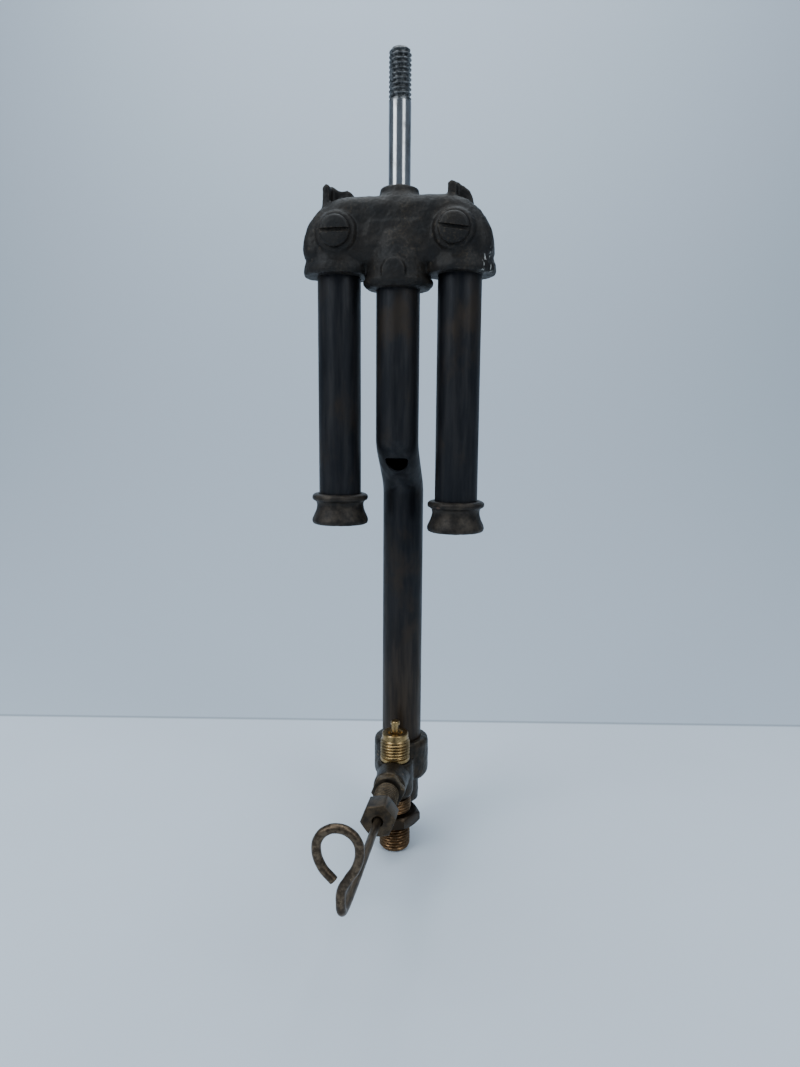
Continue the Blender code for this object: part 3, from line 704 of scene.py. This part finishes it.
def bend_offset(z, offset):
    """The mixing tube's axis in y at a height: a slant between two rounded corners."""
    slope = offset / (BEND_TOP_Z - BEND_LOW_Z)
    if abs(z - BEND_TOP_Z) < BEND_BLEND:
        return slope * (BEND_TOP_Z + BEND_BLEND - z) ** 2 / (4 * BEND_BLEND)
    if abs(z - BEND_LOW_Z) < BEND_BLEND:
        return offset - slope * (z - BEND_LOW_Z + BEND_BLEND) ** 2 / (4 * BEND_BLEND)
    return min(max(slope * (BEND_TOP_Z - z), 0.0), offset)


def build_mixing_tube(material):
    """The pressed tube, with the lip dished round its D-shaped hole and the creases below it."""
    low, high = node_box("mixing_tube")
    offset = high[1] - TUBE_RADIUS
    fine_low, fine_high, coarse, fine = 108.0, 137.0, 1.2, 0.25
    heights = np.unique(np.concatenate([
        np.arange(low[2], fine_low, coarse), np.arange(fine_low, fine_high, fine),
        np.arange(fine_high, high[2], coarse), [high[2]],
    ]))
    segments = 128
    theta = np.linspace(0, 2 * pi, segments, endpoint=False)
    rings = []
    for radius, levels in ((TUBE_RADIUS, heights), (TUBE_RADIUS - TUBE_WALL, heights[::-1])):
        for z in levels:
            y = bend_offset(z, offset)
            ring = np.stack([radius * np.cos(theta), y + radius * np.sin(theta), np.full(segments, z)], -1)
            front = np.clip(-np.sin(theta), 0, 1) ** 2
            x = ring[:, 0]
            dish = 0.75 * np.exp(-((z - 118.3) / 1.5) ** 2 - (x / 2.9) ** 2)
            flat = 0.55 * np.exp(-((z - 125.2) / 1.6) ** 2 - (x / 4.2) ** 2)
            crease = 0.22 * np.exp(-((z - 115.6 - 0.55 * x) / 0.55) ** 2 - ((x + 1.6) / 2.4) ** 2)
            crease += 0.18 * np.exp(-((z - 117.2 + 0.6 * x) / 0.5) ** 2 - ((x - 2.6) / 1.6) ** 2)
            ring[:, 1] += (dish + flat * 0.5 + crease) * front
            pinch = 0.35 * np.exp(-((z - 121.5) / 5.0) ** 2)
            ring[:, 0] *= 1 - 0.02 * pinch
            rings.append(ring)
    faces = ring_faces(len(rings), segments, closed=True)
    tube = new_object("mixing_tube_skin", np.concatenate(rings), faces, 50)
    cutter = revolve("hole", [(0, 100.0), (3.4, 100.0), (3.4, 123.8), (3.1, 124.2), (0, 124.2)], 48)
    place(cutter, 0, -0.8)
    subtract(tube, cutter)
    shade(tube, 50)
    dress(tube, material, "burner", "blued_tube", "mixing_tube")


def block_parts(axis_y):
    """The valve block's overlapping closed shapes, with the mixing tube's lower axis at axis_y."""
    base = node_box("valve_block")[0][2]
    boss = revolve("boss", [
        (0, 17.2), (4.4, 17.2), (5.3, 17.9), (5.8, 19.0), (5.8, 28.2), (5.5, 28.8), (5.0, 29.0),
        (0, 29.0)], 64)
    parts = [boss]
    collar = revolve("collar", [
        (0, 18.0), (6.6, 18.0), (8.0, 18.6), (8.8, 19.9), (8.9, 21.2), (8.9, 30.2), (8.6, 31.1),
        (7.9, 31.6), (0, 31.6)], 72)
    parts.append(place(collar, 0, axis_y))
    spine = revolve("spine", [(0, base), (5.3, base), (5.75, base + 0.5), (5.8, 22.0), (0, 22.0)], 64)
    parts.append(place(spine, 0, axis_y))
    web = [(-4.6, 18.4), (4.6, 18.4), (5.2, 20.0), (5.2, 27.0), (-5.2, 27.0), (-5.2, 20.0)]
    parts.append(prism("web", web, 0.5, axis_y))
    packing = revolve("packing", [(0, 0), (5.2, 0), (5.0, 6.0), (4.95, 11.2), (4.6, 11.75), (0, 11.75)], 64)
    parts.append(place(packing, 0, 0, LEVER_Z, facing_front=True))
    return parts


def build_block(material):
    axis_y = node_box("mixing_tube")[1][1] - 6.35
    obj = fuse(join("block", block_parts(axis_y)), 0.26, 8, 0.6)
    displace_noise(obj, 0.5, 0.08, 1.0)
    displace_noise(obj, 1.7, 0.035, 2.0)
    bore = revolve("bore", [(0, 5.0), (4.5, 5.0), (4.5, 21.0), (6.5, 21.0), (6.5, 40.0), (0, 40.0)], 64)
    seat = revolve("seat", [(0, 29.0), (5.1, 29.0), (5.1, 33.0), (0, 33.0)], 64)
    subtract(obj, place(bore, 0, axis_y), seat)
    shade(obj, 50)
    obj.name = "valve_block_skin"
    dress(obj, material, "burner", "dark_brass", "valve_block")


def hex_body(name, flats, low, high, chamfer_low, chamfer_high, turn=0.0, segments=96):
    """A hexagon whose chamfered ends are turned to a 30 degree cone, as a bevelled mesh."""
    radius = flats / sqrt(3)
    corners = [radians(turn + 60 * k) for k in range(6)]
    verts = [(radius * cos(a), radius * sin(a), z) for z in (low, high) for a in corners]
    faces = [tuple(range(5, -1, -1)), tuple(range(6, 12))]
    faces += [(k, (k + 1) % 6, 6 + (k + 1) % 6, 6 + k) for k in range(6)]
    body = new_object(name, verts, faces, 30)
    wide = radius + 0.6
    tip = flats / 2 - 0.25 - 1 / CONE_SLOPE
    drop = (wide - flats / 2 + 0.25) * CONE_SLOPE
    profile = [(0, low - 1)]
    profile += [(tip, low - 1), (wide, low + drop)] if chamfer_low else [(wide, low - 1)]
    profile += [(wide, high - drop), (tip, high + 1)] if chamfer_high else [(wide, high + 1)]
    profile += [(0, high + 1)]
    boolean(body, "INTERSECT", revolve(name + "_cone", profile, segments))
    bevel(body, 0.1, 2, 25)
    shade(body, 40)
    return body


def build_inlet(material):
    top = node_box("inlet_fitting")[1][2]
    hexagon = hex_body("hexagon", INLET_FLATS, INLET_HEX_LOW, INLET_HEX_HIGH, True, True)
    spigot = revolve("spigot", [
        (2.4, top), (3.9, top), (3.9, 16.9), (4.7, 16.8), (5.1, 16.4, 0.5), (5.1, 13.0, 0.5),
        (4.7, 12.6, 0.0), (4.7, 12.0), (4.3, 10.0), (4.35, 8.0, 0.0), (4.9, 7.6, 0.55), (4.9, 0.9, 0.55),
        (4.35, 0.25, 0.1),
        (4.1, 0.0), (2.4, 0.0),
    ], 96, pitch=BRASS_PITCH, step=0.09, closed=True, smooth_angle=None)
    obj = join("inlet_fitting_skin", [hexagon, spigot])
    shade(obj, 40)
    dress(obj, material, "burner", "copper_brass", "inlet_fitting")


def build_nipple(material):
    base = node_box("generator_nipple")[0][2]
    obj = revolve("generator_nipple_skin", [
        (2.3, base), (3.5, base), (3.5, 29.2), (4.45, 29.25), (4.62, 29.4), (4.62, 30.3), (4.2, 30.5),
        (4.62, 31.0, 0.5), (4.62, 35.6, 0.5), (4.3, 36.2, 0.1), (4.12, 36.5), (4.12, 37.9), (3.85, 38.2),
        (2.45, 38.2), (2.3, 38.05),
    ], 96, pitch=BRASS_PITCH, step=0.08, closed=True, smooth_angle=None)
    obj.data.set_sharp_from_angle(angle=radians(45))
    dress(obj, material, "burner", "bright_brass", "generator_nipple")


def build_stem(material):
    low, high = node_box("cleaner_stem")
    top = high[2]
    rod = revolve("rod", [
        (0, LEVER_Z + 0.9), (1.43, LEVER_Z + 0.9), (1.43, top - 0.35), (1.15, top), (0.3, top - 0.05),
        (0, top - 0.05)], 48, step=0.3)
    for side in (-1, 1):
        near, far = sorted((side * 0.98, side * 3.0))
        subtract(rod, prism("flat", rectangle(near, far, top - 3.7, top - 1.1), -3, 3))
    yoke = prism("yoke", rectangle(-2.15, 2.15, low[2], LEVER_Z + 1.35), -0.88, 0.88)
    subtract(yoke, prism("slot", rectangle(-1.0, 1.6, LEVER_Z - 0.75, LEVER_Z + 0.75), -3, 3))
    bevel(rod, 0.08, 2, 40)
    bevel(yoke, 0.1, 2, 40)
    obj = join("cleaner_stem_skin", [rod, yoke])
    shade(obj, 40)
    dress(obj, material, "stem", "bright_brass", "cleaner_stem")


def build_packing(dark_brass, nut_brass, graphite):
    """Bonnet, nut, ring and washer, all on the lever's axis."""
    bonnet = hex_body("bonnet", BONNET_FLATS, 12.1, 14.4, False, True, turn=PACKING_TURN)
    barrel = revolve("barrel", [
        (1.33, 5.6), (3.2, 5.6), (3.2, 13.0), (3.3, 14.2), (3.3, 14.7, 0.0), (3.6, 15.1, 0.45),
        (3.6, 28.4, 0.45), (3.2, 29.0), (2.6, 29.0), (2.6, 25.2), (1.33, 25.2),
    ], 80, pitch=BRASS_PITCH, step=0.09, closed=True, smooth_angle=None)
    obj = join("packing_bonnet_skin", [bonnet, barrel])
    shade(obj, 40)
    place(obj, 0, 0, LEVER_Z, facing_front=True)
    dress(obj, dark_brass, "burner", "dark_brass", "packing_bonnet")
    nut = hex_body("nut", NUT_FLATS, 24.7, 31.5, True, True, turn=PACKING_TURN)
    cavity = revolve("cavity", [
        (0, 24.0), (3.78, 24.0), (3.78, 30.0), (1.5, 30.0), (1.5, 31.2), (1.75, 31.6),
        (1.75, 33.0), (0, 33.0)], 64)
    subtract(nut, cavity)
    shade(nut, 35)
    place(nut, 0, 0, LEVER_Z, facing_front=True)
    nut.name = "packing_nut_skin"
    dress(nut, nut_brass, "burner", "nut_brass", "packing_nut")
    ring = revolve("packing_ring_skin", [
        (1.3, 25.6), (1.6, 25.5), (2.2, 25.5), (2.4, 25.8), (2.3, 26.5), (2.4, 27.2), (2.3, 27.9),
        (2.4, 28.6), (2.1, 28.8), (1.3, 28.8)], 48, step=0.2, closed=True)
    place(ring, 0, 0, LEVER_Z, facing_front=True)
    dress(ring, graphite, "burner", "packing", "packing_ring")
    washer = revolve("packing_washer_skin", [
        (1.3, 29.25), (3.3, 29.25), (3.4, 29.35), (3.4, 29.6), (3.3, 29.7), (1.3, 29.7)], 64, closed=True)
    place(washer, 0, 0, LEVER_Z, facing_front=True)
    dress(washer, dark_brass, "burner", "dark_brass", "packing_washer")


def build_crank(material):
    drum = revolve("drum", [(0, 1.76), (1.7, 1.76), (1.88, 1.95), (1.88, 4.7), (1.7, 4.9), (0, 4.9)], 48)
    pin = revolve("pin", [(0, -1.1), (0.35, -1.1), (0.48, -0.95), (0.48, 2.5), (0, 2.5)], 32)
    pin.data.transform(Matrix.Translation(Vector((0.7, 0, 0)) * MM))
    obj = join("eccentric_crank_skin", [drum, pin])
    shade(obj, 40)
    place(obj, 0, 0, LEVER_Z, facing_front=True)
    dress(obj, material, "lever", "steel", "eccentric_crank")


def lever_path(front):
    """The wire's points from the lever's axis: a straight run, then a hook that stands up."""
    straight = [(0, -5.2, 0), (0, -33, 0), (-0.75, front + 3.2, 0)]
    rise = [(-0.8, front + 0.9, 0.9), (-0.85, front, 3.4), (-0.6, front, 6.6)]
    neck = [(0.9, front, 9.4), (2.8, front, 12.6)]
    eye = [(x, front, z) for x, z in arc(-1.4, 16.5, 4.95, 0, 180, 6)]
    tail = [(-5.2, front, 12.2), (-2.4, front, 8.9)]
    return straight + rise + neck + eye + tail


def build_lever(material):
    curve = bpy.data.curves.new("cleaner_lever_wire", "CURVE")
    curve.dimensions = "3D"
    curve.bevel_depth = WIRE_RADIUS * MM
    curve.bevel_resolution = 8
    curve.resolution_u = 16
    curve.use_fill_caps = True
    spline = curve.splines.new("BEZIER")
    path = lever_path(node_box("cleaner_lever")[0][1] + WIRE_RADIUS + 0.01)
    spline.bezier_points.add(len(path) - 1)
    for k, (point, co) in enumerate(zip(spline.bezier_points, path)):
        point.co = Vector(co) * MM
        handle = "VECTOR" if k < 2 else "AUTO"
        point.handle_left_type = handle
        point.handle_right_type = handle
    holder = link_object("wire", curve)
    mesh = evaluated_mesh(holder)
    bpy.data.objects.remove(holder)
    lever = link_object("cleaner_lever_wire", mesh)
    place(lever, 0, 0, LEVER_Z)
    bevel(lever, 0.22, 3, 50)
    shade(lever, 50)
    dress(lever, material, "lever", "bronze_wire", "cleaner_lever")


# ---------------------------------------------------------------- stage

def camera():
    """A camera in front of the burner, a little right of it and above its middle, looking slightly down."""
    data = bpy.data.cameras.new("camera")
    data.sensor_width = 36.0
    data.lens = 26.0
    data.clip_start = 0.01
    data.clip_end = 10.0
    obj = link_object("camera", data)
    yaw, pitch, roll = radians(CAMERA_YAW), radians(CAMERA_PITCH), radians(CAMERA_ROLL)
    forward = Vector((sin(yaw) * cos(pitch), cos(yaw) * cos(pitch), -sin(pitch)))
    right = Vector((cos(yaw), -sin(yaw), 0.0))
    up = right.cross(forward)
    turned_right = right * cos(roll) + up * sin(roll)
    turned_up = up * cos(roll) - right * sin(roll)
    basis = Matrix((turned_right, turned_up, -forward)).transposed().to_4x4()
    obj.matrix_world = Matrix.Translation(Vector(CAMERA_PLACE) * MM) @ basis
    bpy.context.scene.camera = obj


def area(name, location, target, size, power):
    data = bpy.data.lights.new(name, "AREA")
    data.shape = "RECTANGLE"
    data.size, data.size_y = size[0] * MM, size[1] * MM
    data.energy = power
    data.color = DAYLIGHT
    obj = link_object(name, data)
    obj.location = Vector(location) * MM
    direction = Vector(target) * MM - obj.location
    obj.rotation_euler = direction.to_track_quat("-Z", "Y").to_euler()


def studio():
    """A floor that curves up into a wall behind, soft lights and a pale sky."""
    base = cad_low[2] / MM - 0.2
    angles = np.linspace(0, pi / 2, 49)[1:]
    profile = [(-STAGE_REACH, base), (SWEEP_START / 2, base), (SWEEP_START, base)]
    profile += [(SWEEP_START + SWEEP_RADIUS * sin(a), base + SWEEP_RADIUS * (1 - cos(a))) for a in angles]
    profile += [(SWEEP_START + SWEEP_RADIUS, STAGE_REACH)]
    verts = [(x, y, z) for x in (-STAGE_REACH, STAGE_REACH) for y, z in profile]
    n = len(profile)
    floor = new_object("sweep", verts, [(k, k + 1, n + k + 1, n + k) for k in range(n - 1)])
    floor.rotation_euler.z = radians(SWEEP_TURN)
    # the two wall tones are painted shade at the wall's foot and painted light at its top
    floor_tone, painted_wall_shade, painted_wall_top_light = (0.60, 0.655, 0.715), (0.46, 0.515, 0.575), (0.80, 0.87, 0.94)
    floor.data.materials.append(paper_material("pale_board", floor_tone, (HORIZON_Y, painted_wall_shade), painted_wall_top_light))
    world = bpy.data.worlds.new("studio")
    bpy.context.scene.world = world
    world.use_nodes = True
    background = world.node_tree.nodes["Background"]
    background.inputs["Color"].default_value = (0.60, 0.74, 0.92, 1.0)
    background.inputs["Strength"].default_value = 0.36
    area("key_left", (-420, -420, 520), (0, 0, 110), (380, 520), 3.0)
    area("key_right", (430, -360, 480), (0, 0, 110), (260, 480), 1.6)
    area("overhead", (-60, 160, 900), (0, 160, 0), (900, 900), 7.5)


def main():
    cast = cast_material()
    tube = tube_material("tube_blued")
    steel = steel_material()
    block = block_material()
    bright = brass_material("brass_bright", (0.42, 0.29, 0.13), (0.25, 0.165, 0.07), (0.07, 0.045, 0.022),
                            0.45, 0.24, 0.4)
    dark_band = (INLET_HEX_LOW, INLET_HEX_HIGH, (0.030, 0.023, 0.017))
    copper = brass_material("brass_reddish", (0.25, 0.15, 0.075), (0.12, 0.07, 0.037), (0.036, 0.022, 0.014),
                            0.55, 0.26, 0.46, band=dark_band)
    nut = brass_material("brass_nut", (0.082, 0.056, 0.032), (0.026, 0.019, 0.013), (0.011, 0.0085, 0.007),
                         0.4, 0.34, 0.52, 0.75)
    build_casting(cast)
    build_plug("left_cleanout_plug", cast, 0.02)
    build_plug("right_cleanout_plug", cast, -0.14)
    build_stud(steel)
    for side in ("left", "right"):
        build_burner_tube(f"{side}_burner_tube", tube)
    cap = cap_material()
    gauze = gauze_material()
    for seed, side in enumerate(("left", "right"), 1):
        build_cap(f"{side}_burner_cap", cap, seed)
        build_gauze(f"{side}_cap_gauze", gauze)
    build_mixing_tube(tube_material("tube_mixing", 40.0))
    build_block(block)
    build_inlet(copper)
    build_nipple(bright)
    build_stem(bright)
    build_packing(block, nut, packing_material())
    build_crank(steel)
    build_lever(wire_material())
    camera()
    studio()


main()
